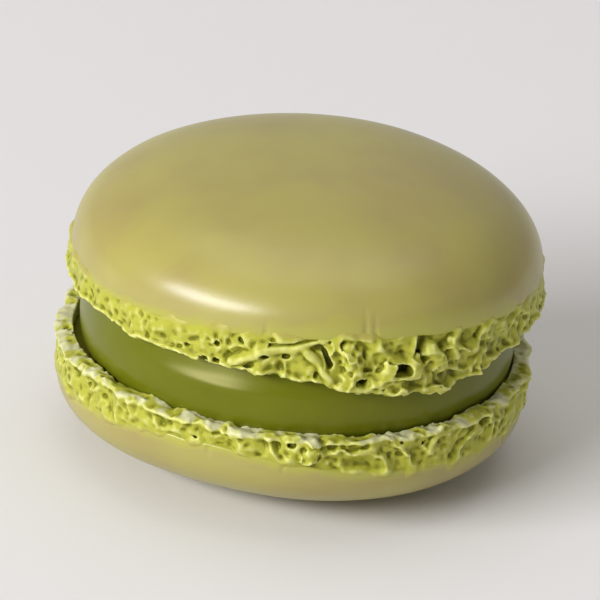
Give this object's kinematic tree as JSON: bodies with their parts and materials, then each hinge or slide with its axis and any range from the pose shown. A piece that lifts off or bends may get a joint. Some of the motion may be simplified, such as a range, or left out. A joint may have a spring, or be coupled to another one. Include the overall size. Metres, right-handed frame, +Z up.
{
  "type": "toy french macaron",
  "caption": "Doll-sized resin copy of a filled macaron: smooth domed shells with crumbly feet over a glossy filling layer, resting on a small flat spot.",
  "frame": {"origin": "on the surface that it rests on, under the middle of the macaron", "axes": "+Z up through both crowns, -Y towards the side that the picture shows, +X to the right of that side"},
  "size_m": [0.021, 0.0208, 0.0129],
  "materials": {
    "shell_paint": "olive-green paint under a satin-gloss lacquer on cast resin, lime green on the crumbly feet",
    "filling_paint": "deep green gloss paint on cast resin"
  },
  "bodies": {
    "root": {"top_shell": "shell_paint", "filling": "filling_paint", "bottom_shell": "shell_paint"}
  },
  "joints": []
}
